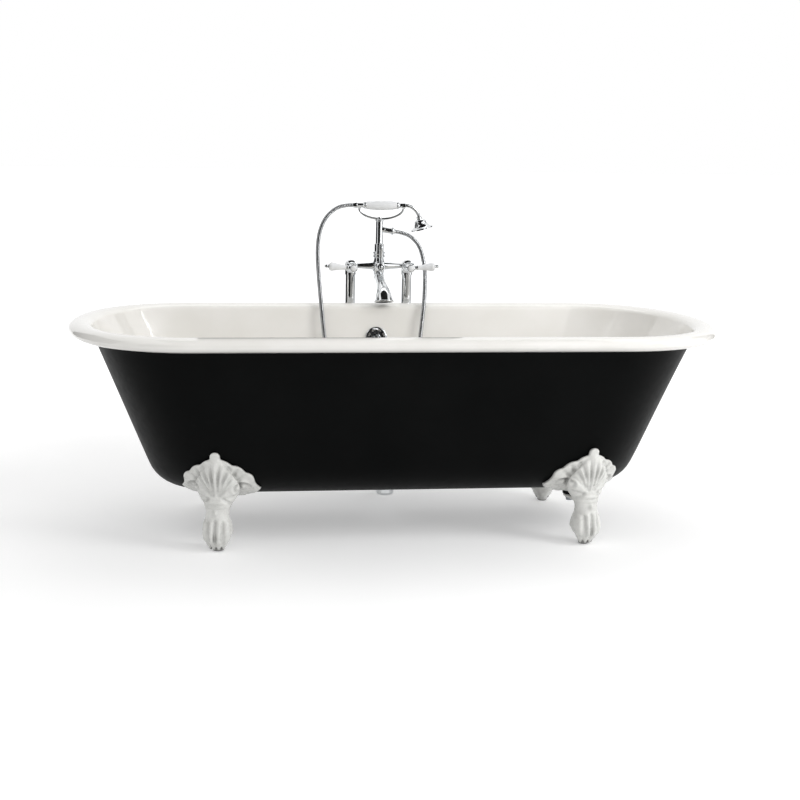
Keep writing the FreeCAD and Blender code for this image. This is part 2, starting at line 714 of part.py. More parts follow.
def make_spout():
    """A spout that runs forward and widens as it turns down to a broad mouth."""
    seat_at, seat_way = spout_seat()
    outer = []
    inner = []
    for forward, drop, dip, radius in spout_sections:
        turn = math.radians(-dip)
        way = V(0, -math.cos(turn), math.sin(turn))
        centre = spout_place(forward, drop)
        outer.append(Part.Wire(Part.Circle(centre, way, radius).toShape()))
        bore = radius - 3 if inner else spout_spigot - 2.5
        inner.append(Part.Wire(Part.Circle(centre, way, bore).toShape()))
    outside = Part.makeLoft(outer, True, False)
    spigot = rod(spout_spigot, seat_at - seat_way * 7.5, seat_way, 10)
    start_collar = turned(seat_at, seat_way, steps((0, 0), (15.5, 0))[0], [(15.5, 0), (16.6, 3), (15.5, 6)],
                          [(15.5, 6), (0, 6)])
    forward, drop, dip, radius = spout_sections[-1]
    way = V(0, -math.cos(math.radians(dip)), -math.sin(math.radians(dip)))
    mouth = spout_place(forward, drop)
    lip = turned(mouth - way * 5, way, steps((0, 0), (radius, 0))[0], [(radius, 0), (radius + 2, 2.5), (radius, 5)],
                 [(radius, 5), (0, 5)])
    body = joined([outside, spigot, start_collar, lip])
    hollow = Part.makeLoft(inner, True, False)
    return body.cut([hollow, rod(spout_spigot - 2.5, seat_at - seat_way * 8, seat_way, 20),
                     rod(insert_radius + seat, mouth - way * 12, way, 13)])


def make_spout_insert():
    """The flow straightener in the mouth: a ring with a cross grid."""
    forward, drop, dip, radius = spout_sections[-1]
    way = V(0, -math.cos(math.radians(dip)), -math.sin(math.radians(dip)))
    mouth = spout_place(forward, drop)
    ring = tube(insert_radius, insert_radius - 3, V(0, 0, 0), UP, 8)
    grid = []
    for i in (-2, -1, 0, 1, 2):
        half = math.sqrt((insert_radius - 2) ** 2 - (8 * i) ** 2)
        grid.append(Part.makeBox(2 * half, 1.6, 5, V(-half, 8 * i - 0.8, 1)))
        grid.append(Part.makeBox(1.6, 2 * half, 5, V(8 * i - 0.8, -half, 1)))
    insert = joined([ring] + grid)
    insert.Placement = FreeCAD.Placement(mouth - way * 10.5, FreeCAD.Rotation(UP, way))
    return insert


def valve_point(side, forward):
    return place(valve_x(side), forward, valve_height)


def make_valve_cover(side):
    """The bonnet screwed on the barrel, a disc that narrows to a sleeve."""
    at = valve_point(side, 0)
    f = valve_face
    body = turned(at, FRONT, steps((0, f), (cover_radius, f))[0], [(cover_radius, f), (cover_radius + 0.6, f + 3),
                  (cover_radius - 1, f + 6)], [(cover_radius - 1, f + 6), (15.5, f + 8.5), (13, f + 12)],
                  [(13, f + 12), (10.5, cover_end)], [(10.5, cover_end), (0, cover_end)])
    return body.cut(rod(cartridge_neck + seat, at, FRONT, 100))


def make_cartridge(side):
    at = valve_point(side, 0)
    body = turned(at, FRONT, steps((0, 3), (cartridge_radius, 3))[0],
                  [(cartridge_radius, 3), (cartridge_radius, valve_face - 0.2)],
                  [(cartridge_neck, valve_face - 0.2), (cartridge_neck, cover_end - 4)],
                  [(cartridge_neck, cover_end - 4), (0, cover_end - 4)])
    ports = [rod(2.8, valve_point(side, 10) - UP * 13, UP, 13), rod(2.8, valve_point(side, 10), V(-side, 0, 0), 13)]
    return body.cut([rod(spindle_radius + slip, valve_point(side, 5), FRONT, 100)] + ports)


def make_spindle(side):
    return rod(spindle_radius, valve_point(side, 6), FRONT, 66)


def lever_way(side):
    tilt = math.radians(lever_tilt)
    return V(side * math.cos(tilt), 0, math.sin(tilt))


def make_lever_hub(side):
    """The hub on the spindle with a neck towards the porcelain."""
    at = valve_point(side, 0)
    way = lever_way(side)
    centre = valve_point(side, lever_front)
    barrel = turned(at, FRONT, steps((0, 62), (9, 62))[0], [(9, 62), (11.5, 64), (12, 68)],
                    [(12, 68), (12, 86)], [(12, 86), (11.6, 89), (10.2, 90)], [(10.2, 90), (0, 90)])
    neck = turned(centre, way, steps((0, 0), (8.5, 0))[0], [(8.5, 0), (8.5, 9)], [(8.5, 9), (6.2, 14), (7.8, 19)],
                  [(7.8, 19), (7.8, lever_collar)], [(7.8, lever_collar), (0, lever_collar)])
    cuts = [rod(spindle_radius, valve_point(side, 60), FRONT, 12), rod(button_radius, valve_point(side, 87), FRONT, 5)]
    cuts.append(rod(lever_rod, centre + way * 9, way, 30))
    return barrel.fuse(neck).removeSplitter().cut(cuts)


def make_lever_porcelain(side):
    """A teardrop handle, bored through for the rod."""
    centre = valve_point(side, lever_front)
    c = lever_collar
    end = lever_reach - 14
    body = turned(centre, lever_way(side), steps((0, c), (7.2, c))[0], [(7.2, c), (7.6, c + 8), (8.7, c + 18)],
                  [(8.7, c + 18), (11.6, c + 33), (13.2, c + 43)], [(13.2, c + 43), (12.4, c + 50), (7.5, end)],
                  [(7.5, end), (0, end)])
    return body.cut(rod(lever_rod + 0.3, centre, lever_way(side), 100))


def make_lever_tip(side):
    """The rod through the porcelain with the collar and ball that hold it."""
    centre = valve_point(side, lever_front)
    end = lever_reach - 14
    ball = turned(centre, lever_way(side), steps((0, end), (6.2, end))[0], [(6.2, end), (6.4, end + 1.5),
                 (4, end + 3)], [(4, end + 3), (5.4, end + 5), (5.6, end + 8)], cap(5.6, end + 8, lever_reach))
    return ball.fuse(rod(lever_rod, centre + lever_way(side) * 9, lever_way(side), end - 9 + 1))


def make_index_button(side):
    at = valve_point(side, 87)
    return turned(at, FRONT, steps((0, 0), (button_radius, 0))[0], [(button_radius, 0), (button_radius, 4)],
                  cap(button_radius, 4, 10))


def make_diverter_bonnet():
    at = place(mixer_x, 0, valve_height)
    f = diverter_face
    body = turned(at, FRONT, steps((0, 8), (diverter_stem, 8))[0], [(diverter_stem, 8), (diverter_stem, f)],
                  [(diverter_stem, f), (16, f)], [(16, f), (16.8, f + 3), (16, f + 6)],
                  [(16, f + 6), (12, f + 10), (10.5, diverter_end)], [(10.5, diverter_end), (0, diverter_end)])
    return body.cut(rod(spindle_radius + slip, at, FRONT, 100))


def make_diverter_spindle():
    return rod(spindle_radius, place(mixer_x, 10, valve_height), FRONT, 40)


def make_diverter_lever():
    """The hub on the diverter's spindle with its small upright lever."""
    at = place(mixer_x, 0, valve_height)
    start = diverter_end + 1
    hub = turned(at, FRONT, steps((0, start), (12, start))[0], [(12, start), (13, start + 4), (12, start + 9)],
                 [(12, start + 9), (9, start + 12), (8, start + 12)], [(8, start + 12), (0, start + 12)])
    axis_at = place(mixer_x, start + 5.5, valve_height)
    lever = turned(axis_at, UP, steps((0, 0), (4.2, 0))[0], [(4.2, 0), (4.2, 14)], [(4.2, 14), (4.6, 34), (5.9, 52)],
                   [(5.9, 52), (6.4, 62), (5.6, 69)], cap(5.6, 69, diverter_reach))
    cuts = [rod(spindle_radius, place(mixer_x, start - 1, valve_height), FRONT, 51 - start)]
    cuts.append(rod(6.5, place(mixer_x, start + 10, valve_height), FRONT, 5))
    return joined([hub, lever]).cut(cuts)


def make_diverter_button():
    at = place(mixer_x, diverter_end + 11, valve_height)
    return turned(at, FRONT, steps((0, 0), (6.5, 0))[0], [(6.5, 0), (6.5, 2)], cap(6.5, 2, 5.5))


def make_riser_collar():
    """The nut that holds the riser on the hub."""
    at = V(mixer_x, mixer_y, riser_face)
    nut = turned(at, UP, steps((0, 0), (17, 0))[0], [(17, 0), (19.6, 2.5), (19.3, 6)], [(19.3, 6), (18, 9), (19.3, 12)],
                 [(19.3, 12), (19.6, 16), (17, 19)], [(17, 19), (0, 19)])
    return nut.cut([rod(column_radius + seat, at - UP, UP, 30), rod(13.5 + seat, at - UP, UP, 6)])


def make_riser_column():
    """The upright pipe with its lower sleeve, foot flange and the boss for the hose outlet."""
    at = V(mixer_x, mixer_y, 0)
    low = riser_face
    sleeve_top = low + sleeve_length
    body = turned(at, UP, steps((0, low), (13.5, low))[0], [(13.5, low), (13.5, low + 4.9)],
                  [(column_radius, low + 4.9), (column_radius, low + 19.2)],
                  [(column_radius, low + 19.2), (sleeve_radius, low + 19.2)],
                  [(sleeve_radius, low + 19.2), (sleeve_radius, sleeve_top)],
                  [(sleeve_radius, sleeve_top), (14.6, sleeve_top + 3), (column_radius, sleeve_top + 4)],
                  [(column_radius, sleeve_top + 4), (column_radius, column_top)],
                  [(column_radius, column_top), (0, column_top)])
    boss = rod(10.5, outlet_point(0), outlet_way(), 15)
    bore = rod(8, at + UP * (low - 1), UP, hose_outlet_height + 6 - low)
    side_bore = rod(7, outlet_point(0), outlet_way(), 20)
    return joined([body, boss]).cut([bore, side_bore])


def outlet_way():
    dip = math.radians(outlet_dip)
    return V(math.cos(dip), 0, -math.sin(dip))


def outlet_point(distance):
    """On the axis of the hose outlet, measured from the riser's middle."""
    return V(mixer_x, mixer_y, hose_outlet_height) + outlet_way() * distance


def make_hose_outlet():
    """The nipple screwed in the column for the hose."""
    body = turned(outlet_point(0), outlet_way(), steps((0, 10), (6.9, 10))[0], [(6.9, 10), (6.9, 15)],
                  [(6.9, 15), (9.8, 15)], [(9.8, 15), (9.5, 17), (9.5, 20)], [(9.5, 20), (9.5, outlet_end)],
                  [(9.5, outlet_end), (0, outlet_end)])
    return body.cut(rod(hose_bore, outlet_point(0), outlet_way(), 80))


def make_mixer_hose_nut():
    """The nut and the ferrule crimped on the hose's end."""
    e = outlet_end
    body = turned(outlet_point(0), outlet_way(), steps((0, e), (11, e))[0], [(11, e), (12.5, e + 1.5), (12.5, e + 5)],
                  [(12.5, e + 5), (11.5, e + 7), (8.6, e + 8)], [(8.6, e + 8), (8.2, hose_start)],
                  [(8.2, hose_start), (0, hose_start)])
    return body.cut(rod(hose_bore, outlet_point(0), outlet_way(), 80))


def make_cradle():
    """The fork that carries the handset: a base on the column, a half-round bow and two open cups."""
    middle = mixer_x + handset_shift
    base = turned(V(mixer_x, mixer_y, column_top), UP, steps((0, 0), (13, 0))[0], [(13, 0), (14, 2.5), (12, 5)],
                  [(12, 5), (8, 9), (6, 14)], [(6, 14), (0, 14)])
    arc = Part.ArcOfEllipse(Part.Ellipse(V(0, 0, 0), cradle_half_width, cradle_drop), math.pi, 2 * math.pi).toShape()
    arc.rotate(V(0, 0, 0), V(1, 0, 0), 90)
    arc.translate(V(middle, mixer_y, cup_height))
    fork = swept([arc], cradle_rod)
    cups = []
    for side in (-1, 1):
        x = middle + side * cradle_half_width - cup_width / 2
        ring = tube(cup_outer, (tail_rest + slip), V(x, mixer_y, handset_height), V(1, 0, 0), cup_width)
        opening = Part.makeBox(cup_width + 2, 2 * cup_outer + 2, 30, V(x - 1, mixer_y - cup_outer - 1, handset_height))
        cups.append(ring.cut(opening))
    slots = Part.makeBox(2 * cradle_half_width + 40, 2 * (tail_rest + slip), 40,
                         V(middle - cradle_half_width - 20, mixer_y - (tail_rest + slip), handset_height))
    bores = rod((tail_rest + slip), V(middle - cradle_half_width - 20, mixer_y, handset_height), V(1, 0, 0),
                2 * cradle_half_width + 40)
    return joined([base, fork] + cups).cut([slots, bores])


# ---- handset ----

def hand_point(distance):
    return V(mixer_x + handset_shift + distance, mixer_y, handset_height)


def make_porcelain_grip():
    half = grip_length / 2
    body = turned(hand_point(0), V(1, 0, 0), [(0, -half), (11.5, -half)], [(11.5, -half), (14.6, -half / 2),
                  (grip_radius, 0)], [(grip_radius, 0), (14.6, half / 2), (11.5, half)], [(11.5, half), (0, half)])
    return body.cut(rod(core_radius + seat, hand_point(-half), V(1, 0, 0), grip_length))


def make_handset_tail():
    """The left fitting: ferrule, tail that rests in the cup, and the core pipe through the porcelain."""
    half = grip_length / 2
    body = turned(hand_point(0), V(-1, 0, 0), steps((0, half), (11, half))[0], [(11, half), (11.8, half + 2.5),
                  (11, half + 5)], [(11, half + 5), (9.4, half + 8), (tail_rest, half + 10)],
                  [(tail_rest, half + 10), (tail_rest, tail_end)], [(tail_rest, tail_end), (0, tail_end)])
    core = rod(core_radius, hand_point(-half - 2), V(1, 0, 0), grip_length)
    return body.fuse(core).cut(rod(hose_bore, hand_point(-tail_end - 1), V(1, 0, 0), 200))


def make_handset_hose_nut():
    e = tail_end
    body = turned(hand_point(0), V(-1, 0, 0), steps((0, e), (9.4, e))[0], [(9.4, e), (10.2, e + 1.5), (9.8, e + 4)],
                  [(9.8, e + 4), (8, e + 13)], [(8, e + 13), (0, e + 13)])
    return body.cut(rod(hose_bore, hand_point(-e + 1), V(-1, 0, 0), 40))


def neck_path():
    """Straight out of the ferrule, then round and down to the bell."""
    start = hand_point(neck_start)
    turn = math.radians(bell_tilt)
    centre = start - UP * neck_bend
    middle = centre + V(math.sin(turn / 2), 0, math.cos(turn / 2)) * neck_bend
    end = centre + V(math.sin(turn), 0, math.cos(turn)) * neck_bend
    return start, middle, end


def make_handset_neck():
    """The right fitting: ferrule, neck bent down through 75 degrees."""
    half = grip_length / 2
    start, middle, end = neck_path()
    ferrule = turned(hand_point(0), V(1, 0, 0), steps((0, half), (11, half))[0], [(11, half), (11.8, half + 2.5),
                     (11, half + 5)], [(11, half + 5), (9.4, half + 8), (tail_rest, half + 10)],
                     [(tail_rest, half + 10), (tail_rest, neck_start)],
                     [(tail_rest, neck_start), (neck_radius, neck_start + 1)],
                     [(neck_radius, neck_start + 1), (0, neck_start + 1)])
    bend = swept([Part.Arc(start, middle, end).toShape()], neck_radius)
    hollow = swept([Part.Arc(start, middle, end).toShape()], neck_radius - 1.8)
    bore = rod(neck_radius - 1.8, hand_point(half + 2), V(1, 0, 0), neck_start - half - 2)
    socket = rod(core_radius + seat, hand_point(half - 1), V(1, 0, 0), 4)
    return joined([ferrule, bend]).cut([hollow, bore, socket])


def bell_way():
    turn = math.radians(bell_tilt)
    return V(math.cos(turn), 0, -math.sin(turn))


def make_shower_bell():
    start, middle, end = neck_path()
    way = bell_way()
    outside = turned(end, way, steps((0, 0), (7, 0))[0], [(7, 0), (9.2, 4), (8, 8)], [(8, 8), (14, 11), (19, 17)],
                     [(19, 17), (22, 26), (25, 31)], [(25, 31), (30, 35), (bell_radius, 36.6)],
                     [(bell_radius, 36.6), (bell_radius, bell_depth)], [(bell_radius, bell_depth), (0, bell_depth)])
    hollow = turned(end, way, steps((0, 10), (5, 10))[0], [(5, 10), (12, 14), (16, 19)],
                    [(16, 19), (18, 27), (21.5, 32.4)], [(21.5, 32.4), (25, 35.8), (28, plate_seat)],
                    [(28, plate_seat), (plate_radius + seat, plate_seat)],
                    [(plate_radius + seat, plate_seat), (plate_radius + seat, bell_depth + 1)],
                    [(plate_radius + seat, bell_depth + 1), (0, bell_depth + 1)])
    return outside.cut([hollow, rod(neck_radius - 1.8, end - way, way, 14)])


def make_spray_plate():
    start, middle, end = neck_path()
    way = bell_way()
    plate = turned(end + way * plate_seat, way, steps((0, 0), (plate_radius, 0))[0], [(plate_radius, 0), (plate_radius, 2)],
                   cap(plate_radius, 2, 4))
    across = V(0, 1, 0)
    other = way.cross(across)
    holes = []
    for count, radius in ((6, 11), (12, 23)):
        for i in range(count):
            turn = 2 * math.pi * i / count
            spot = end + across * radius * math.cos(turn) + other * radius * math.sin(turn)
            holes.append(rod(1.2, spot + way * 30, way, 20))
    return plate.cut(holes)


# ---- the hose ----

def rounded(route):
    """Straight runs between the points joined by tangent arcs, each as large as its shorter run allows."""
    edges = []
    last = route[0]
    smallest = None
    for before, point, after in zip(route, route[1:], route[2:]):
        run_in = point - before
        run_out = after - point
        half = run_in.getAngle(run_out) / 2
        cut = hose_corner_share * min(run_in.Length, run_out.Length)
        radius = cut / math.tan(half)
        smallest = radius if smallest is None else min(smallest, radius)
        first = point - run_in.normalize() * cut
        second = point + run_out.normalize() * cut
        towards = (first + second) * 0.5 - point
        reach = math.hypot(radius, cut) - radius
        middle = point + towards.normalize() * reach
        print("hose bend radius %.0f turn %.0f" % (radius, math.degrees(2 * half)))
        edges.append(Part.LineSegment(last, first).toShape())
        edges.append(Part.Arc(first, middle, second).toShape())
        last = second
    edges.append(Part.LineSegment(last, route[-1]).toShape())
    print("hose length %.0f smallest bend %.0f" % (sum(e.Length for e in edges), smallest))
    return edges


def hose_route():
    """From the mixer's nut down into the tub, round under itself and up to the handset's nut."""
    points = [outlet_point(hose_start)]
    points += [V(x, y, z) for x, y, z in hose_points]
    points.append(hand_point(-tail_end - 13))
    return points


def make_shower_hose():
    return swept(rounded(hose_route()), hose_radius, hose_bore)


# ---- write the nodes ----

save("tub_shell", make_tub_shell())
foot = make_foot()
for name, side_x, side_y in foot_places():
    copy = foot if side_x > 0 else foot.mirror(V(0, 0, 0), V(1, 0, 0))
    copy = copy if side_y < 0 else copy.mirror(V(0, 0, 0), V(0, 1, 0))
    save("claw_foot_" + name, copy)
bolts = []
washers = []
for name, side_x, side_y in foot_places():
    seat_at = foot_bolt_point(side_x, side_y, tongue_top - tongue_thickness)
    washers.append(tube(12, foot_bolt_radius + 0.3, seat_at - UP * washer_thickness, UP, washer_thickness))
    head_at = seat_at - UP * (washer_thickness + bolt_head)
    bolt_length = bolt_head + washer_thickness + tongue_thickness + boss_height - 4
    bolts.append(hexagon(18, head_at, UP, bolt_head).fuse(rod(foot_bolt_radius, head_at, UP, bolt_length)))
save("foot_bolts", Part.makeCompound(bolts + washers))

save("waste_flange", make_waste_flange())
save("waste_nut", make_waste_nut())
save("waste_body", make_waste_body())
save("plug_cartridge", make_plug_cartridge())
save("plug_stem", make_plug_stem())
save("plug_dome", make_plug_dome())
save("plug_seal", make_plug_seal())
save("overflow_plate", make_overflow_plate())
save("overflow_screw", make_overflow_screw())
save("gaskets", Part.makeCompound(make_waste_gaskets() + [make_overflow_gasket()]))
save("overflow_elbow", make_overflow_elbow())
save("overflow_pipe", make_overflow_pipe())
save("pipe_nuts", make_pipe_nuts())
save("waste_tee", make_waste_tee())
save("waste_pipe", make_waste_pipe())
save("drain_tail", make_drain_tail())

for word, side in (("left", -1), ("right", 1)):
    save(word + "_standpipe", make_standpipe(side))
    save(word + "_floor_flange", make_floor_flange(side))
    save(word + "_valve_cover", make_valve_cover(side))
    save(word + "_cartridge", make_cartridge(side))
    save(word + "_spindle", make_spindle(side))
    save(word + "_lever_hub", make_lever_hub(side))
    save(word + "_lever_porcelain", make_lever_porcelain(side))
    save(word + "_lever_tip", make_lever_tip(side))
    save(word + "_index_button", make_index_button(side))
save("supply_pipes", Part.makeCompound([make_supply_pipe(-1), make_supply_pipe(1)]))
save("mixer_body", make_mixer_body())
save("spout", make_spout())
save("spout_insert", make_spout_insert())
save("diverter_bonnet", make_diverter_bonnet())
save("diverter_spindle", make_diverter_spindle())
save("diverter_lever", make_diverter_lever())
save("diverter_button", make_diverter_button())
save("riser_collar", make_riser_collar())
save("riser_column", make_riser_column())
save("hose_outlet", make_hose_outlet())
save("mixer_hose_nut", make_mixer_hose_nut())
save("cradle", make_cradle())
save("handset_tail", make_handset_tail())
save("handset_hose_nut", make_handset_hose_nut())
save("porcelain_grip", make_porcelain_grip())
save("handset_neck", make_handset_neck())
save("shower_bell", make_shower_bell())
save("spray_plate", make_spray_plate())
save("shower_hose", make_shower_hose())
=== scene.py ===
import bpy
import bmesh
import json
import math
from mathutils import Matrix, Vector


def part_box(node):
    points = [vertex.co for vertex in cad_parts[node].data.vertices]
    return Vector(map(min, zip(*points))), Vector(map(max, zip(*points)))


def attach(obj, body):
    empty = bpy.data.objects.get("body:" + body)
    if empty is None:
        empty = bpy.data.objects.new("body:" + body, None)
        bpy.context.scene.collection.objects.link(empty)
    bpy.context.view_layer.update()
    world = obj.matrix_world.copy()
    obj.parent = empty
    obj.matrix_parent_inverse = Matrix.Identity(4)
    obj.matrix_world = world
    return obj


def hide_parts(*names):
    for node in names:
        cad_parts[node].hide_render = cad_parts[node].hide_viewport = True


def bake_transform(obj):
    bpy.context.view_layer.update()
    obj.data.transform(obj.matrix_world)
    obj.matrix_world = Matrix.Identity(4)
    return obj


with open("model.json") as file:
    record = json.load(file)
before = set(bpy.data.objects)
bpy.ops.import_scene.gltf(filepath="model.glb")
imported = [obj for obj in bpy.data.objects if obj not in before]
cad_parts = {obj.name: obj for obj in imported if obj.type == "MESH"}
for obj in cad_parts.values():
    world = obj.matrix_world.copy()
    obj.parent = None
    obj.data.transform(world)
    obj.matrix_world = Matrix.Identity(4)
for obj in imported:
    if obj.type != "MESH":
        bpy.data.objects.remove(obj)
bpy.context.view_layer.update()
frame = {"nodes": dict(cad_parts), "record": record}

# A cast bathtub on claw feet, white enamel inside and satin black outside, with a chrome mixer on
# two standpipes behind it. Metres, in the frame of the solids: X along the tub, Y to the rear and
# Z up.

# ---- sizes ----

tub_low, tub_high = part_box("tub_shell")
tub_middle_y = (tub_low.y + tub_high.y) / 2
half_length = (tub_high.x - tub_low.x) / 2
half_width = (tub_high.y - tub_low.y) / 2
rim_top = tub_high.z
roll_half_width = 0.033
roll_half_height = 0.0195
rim_centre = rim_top - roll_half_height
wall = 0.007
underside = 0.136
end_depth = 0.335            # length of the curved end in plan, at the rim
end_spread = 22.0            # degrees each way that the flatter arc at the very end reaches there
floor_straight = 0.440       # half the straight side, at the floor
floor_spread = 45.0          # degrees that the end's arc reaches at the floor
end_lean = 0.41              # how far the walls lean out for each metre up
side_lean = 0.23
end_corner = 0.100           # radius between wall and floor
side_corner = 0.150

foot_x = 0.510
foot_y = 0.237
foot_turn = 15.0             # degrees that each foot faces outward
bolt_reach = 0.086           # from a foot's centre in to the boss that its bolt enters
boss_radius = 0.020
boss_low, boss_high = 0.124, 0.141

hose_radius = 0.007
hose_rib = 0.0050            # pitch of the wound steel strip

# the camera as fitted to the photo: place, angles in radians, and lengths in the photo's pixels
photo_size = 800.0
focal_length_px = 1458.65
centre_px = 358.97
sensor_width = 36.0
camera_place = (-0.6128, -4.12075, 1.15284)
camera_yaw = 0.125
camera_pitch = 0.189
camera_roll = 0.016


# ---- materials ----

def colour(hex_code):
    """An sRGB hex colour as linear values."""
    levels = [int(hex_code[i:i + 2], 16) / 255 for i in (0, 2, 4)]
    return [c / 12.92 if c <= 0.04045 else ((c + 0.055) / 1.055) ** 2.4 for c in levels] + [1.0]


def add_node(tree, kind, settings=None, inputs=None):
    """A node with its settings; each input gets another node's output, or a plain value."""
    node = tree.nodes.new(kind)
    for name, value in (settings or {}).items():
        setattr(node, name, value)
    for name, value in (inputs or {}).items():
        if isinstance(value, bpy.types.NodeSocket):
            tree.links.new(value, node.inputs[name])
        else:
            node.inputs[name].default_value = value
    return node


def finish(name, tones, patch, roughness, grain, peel=(0.0, 1.0), **sockets):
    """A finish whose tone drifts over patches and whose gloss varies over its grain, both in
    millimetres. Its skin rises and falls by the peel's height over the peel's width."""
    material = bpy.data.materials.new(name)
    material.use_nodes = True
    tree = material.node_tree
    shader = tree.nodes["Principled BSDF"]
    for socket, value in sockets.items():
        shader.inputs[socket.replace("_", " ")].default_value = value
    place = add_node(tree, "ShaderNodeTexCoord").outputs["Object"]
    drift = add_node(tree, "ShaderNodeTexNoise", {},
                     {"Vector": place, "Scale": 1000 / patch, "Detail": 3.0})
    tone = add_node(tree, "ShaderNodeValToRGB", {}, {"Fac": drift.outputs["Fac"]})
    for stop, position, hex_code in zip(tone.color_ramp.elements, (0.35, 0.65), tones):
        stop.position = position
        stop.color = colour(hex_code)
    tree.links.new(tone.outputs["Color"], shader.inputs["Base Color"])
    speckle = add_node(tree, "ShaderNodeTexNoise", {},
                       {"Vector": place, "Scale": 1000 / grain, "Detail": 3.0})
    gloss = add_node(tree, "ShaderNodeMapRange", {},
                     {"Value": speckle.outputs["Fac"], "From Min": 0.3, "From Max": 0.7,
                      "To Min": roughness[0], "To Max": roughness[1]})
    tree.links.new(gloss.outputs["Result"], shader.inputs["Roughness"])
    if peel[0]:
        skin = add_node(tree, "ShaderNodeTexNoise", {},
                        {"Vector": place, "Scale": 1000 / peel[1], "Detail": 2.0})
        bump = add_node(tree, "ShaderNodeBump", {},
                        {"Height": skin.outputs["Fac"], "Distance": peel[0] / 1000})
        tree.links.new(bump.outputs["Normal"], shader.inputs["Normal"])
    return material


def paint_shade_in_hollows(material, reach):
    """Painted shade: the colour darkens where the surface closes in on itself within the reach, so
    carving reads.
    """
    tree = material.node_tree
    base = tree.nodes["Principled BSDF"].inputs["Base Color"]
    # painted shade: ambient occlusion darkens the base colour in the hollows
    hollow = add_node(tree, "ShaderNodeAmbientOcclusion", {"samples": 8},
                      {"Color": base.links[0].from_socket, "Distance": reach})
    tree.links.new(hollow.outputs["Color"], base)


# Glass fused on cast iron: wet gloss over a skin that waves a little, so long highlights wander.
enamel = finish("vitreous enamel", ("F2F0EB", "F6F4F0"), 120, (0.10, 0.16), 50, peel=(0.35, 35),
                IOR=1.52, Coat_Weight=0.5, Coat_Roughness=0.04)

# Oil paint rolled over sanded iron: near black, with a broad soft sheen and a fine peel.
black_paint = finish("satin black paint", ("050606", "090A0A"), 250, (0.40, 0.48), 20,
                     peel=(0.06, 5), IOR=1.13)

# Gloss paint brushed over rough castings: bright, with a wet coat, the sand's pits still felt
# under it, and painted shade that darkens the hollows of the carving.
white_paint = finish("white gloss paint on cast iron", ("DFDFDB", "E9E9E5"), 30, (0.22, 0.34), 12,
                     peel=(0.18, 4), IOR=1.5, Coat_Weight=0.3, Coat_Roughness=0.12)
# painted shade in the hollows of the feet's carving
paint_shade_in_hollows(white_paint, 0.014)

# Chrome plate on buffed brass: a cold mirror that the polishing mop leaves very slightly cloudy.
chrome = finish("polished chrome plate", ("DCDEE0", "E7E9EA"), 20, (0.035, 0.075), 8,
                Metallic=1.0)

# Stainless strip wound into a hose: a mirror again, but its grooves hold the dark, so it reads as
# grey.
strip_steel = finish("wound stainless strip", ("B0B2B4", "CCCED0"), 15, (0.12, 0.20), 4,
                     Metallic=1.0)

# Brass as it leaves the lathe or the mould: warm yellow with dull brown patches.
brass = finish("turned brass", ("A68040", "C9A45C"), 12, (0.28, 0.42), 3, peel=(0.02, 1),
               Metallic=1.0)

# Porcelain under clear glaze: milky white, with light that sinks in and a sharp highlight.
porcelain = finish("glazed porcelain", ("E4E5E6", "ECEDEE"), 20, (0.10, 0.18), 10, IOR=1.52,
                   Coat_Weight=0.6, Coat_Roughness=0.03, Subsurface_Weight=0.15,
                   Subsurface_Scale=0.004, Subsurface_Radius=(1.0, 1.0, 1.0))

# Zinc on steel bolts: grey with a dull crystalline bloom.
zinc = finish("zinc plated steel", ("83878A", "A3A7AA"), 4, (0.35, 0.5), 3, peel=(0.03, 2),
              Metallic=1.0)

# Nitrile rubber from a mould: matt charcoal with a dusty grain.
rubber = finish("black nitrile rubber", ("161616", "202020"), 6, (0.6, 0.8), 2, peel=(0.03, 1.5),
                IOR=1.5)

# Moulded acetal of the flow straightener: dark grey with a waxy sheen.
acetal = finish("dark moulded acetal", ("242424", "2E2E2E"), 6, (0.45, 0.6), 2, peel=(0.02, 1.5),
                IOR=1.48)

# Flocked card of the studio: it gives back next to nothing.
flock = finish("black flock card", ("050505", "0A0A0A"), 50, (0.9, 1.0), 5)


# ---- the solids that stay in view ----

finish_of_slot = {"enamelled_cast_iron": enamel, "painted_cast_iron": white_paint,
                  "chrome": chrome, "brass": brass, "porcelain": porcelain,
                  "galvanised_steel": zinc, "rubber": rubber, "plastic": acetal}

# pieces of the waste that show under the tub and behind it, plated like the taps
plated = ("waste_nut", "waste_body", "waste_pipe", "waste_tee", "drain_tail", "overflow_elbow",
          "overflow_pipe", "pipe_nuts")


def dress_solids():
    """Each solid takes the finish of its slot in the record, and the plated ones take chrome."""
    for part in frame["record"]["subparts"]:
        solid = frame["nodes"][part["node"]]
        is_plated = part["node"] in plated
        solid.data.materials.clear()
        solid.data.materials.append(
            chrome if is_plated else finish_of_slot[part["material_slot"]])


# ---- the tub ----

# points on a quarter of each outline: along the side, round the corner, round the flatter end
side_points = 12
corner_points = 18
end_points = 14

corner_turns = range(0, 78, 7)          # degrees round the corner between floor and wall
wall_steps = 7                          # rings from there up to the rim
roll_over = range(180, -106, -9)        # degrees round the roll, from the basin over to the lip
roll_under = range(-105, 150, 15)       # and back up its hollow side, one wall deeper
# the lip's own rings: degrees, and depth as a share of the wall
lip_turns = ((-109, 0.25), (-110, 0.6))
cap_shares = (0.2, 0.6)                 # rings that bring the floor in to its middle
enamel_face, paint_face = 0, 1


